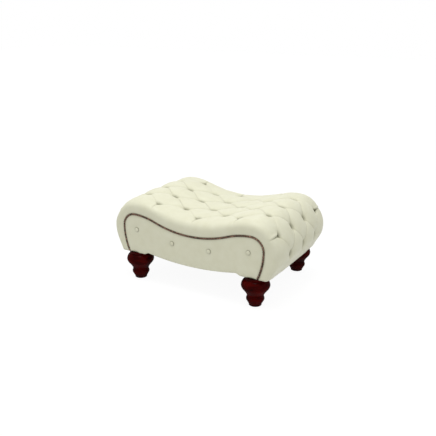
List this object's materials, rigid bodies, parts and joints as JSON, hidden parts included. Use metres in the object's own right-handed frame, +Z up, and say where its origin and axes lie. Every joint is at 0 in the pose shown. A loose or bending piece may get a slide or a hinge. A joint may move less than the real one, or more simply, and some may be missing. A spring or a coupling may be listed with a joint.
{
  "type": "footstool",
  "caption": "Long deep-buttoned leather footstool with a dipped saddle seat, nailed side facings with a bowed apron, and turned wooden bun feet.",
  "frame": {"origin": "on the floor under the centre of the stool", "axes": "+X along the stool, -Y towards the front facing, +Z up"},
  "size_m": [0.8696, 0.5718, 0.3985],
  "materials": {
    "antique_brass": "antiqued satin",
    "cambric": "non-woven",
    "cream_leather": "satin",
    "foam": "open cell",
    "hardwood": "sawn",
    "hessian": "woven",
    "jute": "woven",
    "mahogany": "polished",
    "nylon": "matt",
    "plywood": "sawn",
    "steel": "zinc plated",
    "tab_leather": "raw",
    "twine": "waxed",
    "wadding": "fibrous"
  },
  "bodies": {
    "root": {"back_batten": "hardwood", "back_facing_board": "plywood", "back_facing_buttons": "cream_leather", "back_facing_leather": "cream_leather", "back_facing_pad": "wadding", "back_left_corner_block": "hardwood", "back_nail_trim": "antique_brass", "back_right_corner_block": "hardwood", "back_side_panel": "plywood", "button_twines": "twine", "centre_stretcher": "hardwood", "deep_buttons": "cream_leather", "dust_cover": "cambric", "foam_pad": "foam", "foot_bolts": "steel", "foot_glides": "nylon", "foot_nuts": "steel", "front_batten": "hardwood", "front_facing_board": "plywood", "front_facing_buttons": "cream_leather", "front_facing_leather": "cream_leather", "front_facing_pad": "wadding", "front_left_corner_block": "hardwood", "front_nail_trim": "antique_brass", "front_right_corner_block": "hardwood", "front_side_panel": "plywood", "hessian_sheet": "hessian", "leather_cover": "cream_leather", "left_end_board": "plywood", "left_end_rail": "hardwood", "left_shoulder_rail": "hardwood", "right_end_board": "plywood", "right_end_rail": "hardwood", "right_shoulder_rail": "hardwood", "turned_feet": "mahogany", "twine_tabs": "tab_leather", "webbing_straps": "jute"}
  },
  "joints": []
}
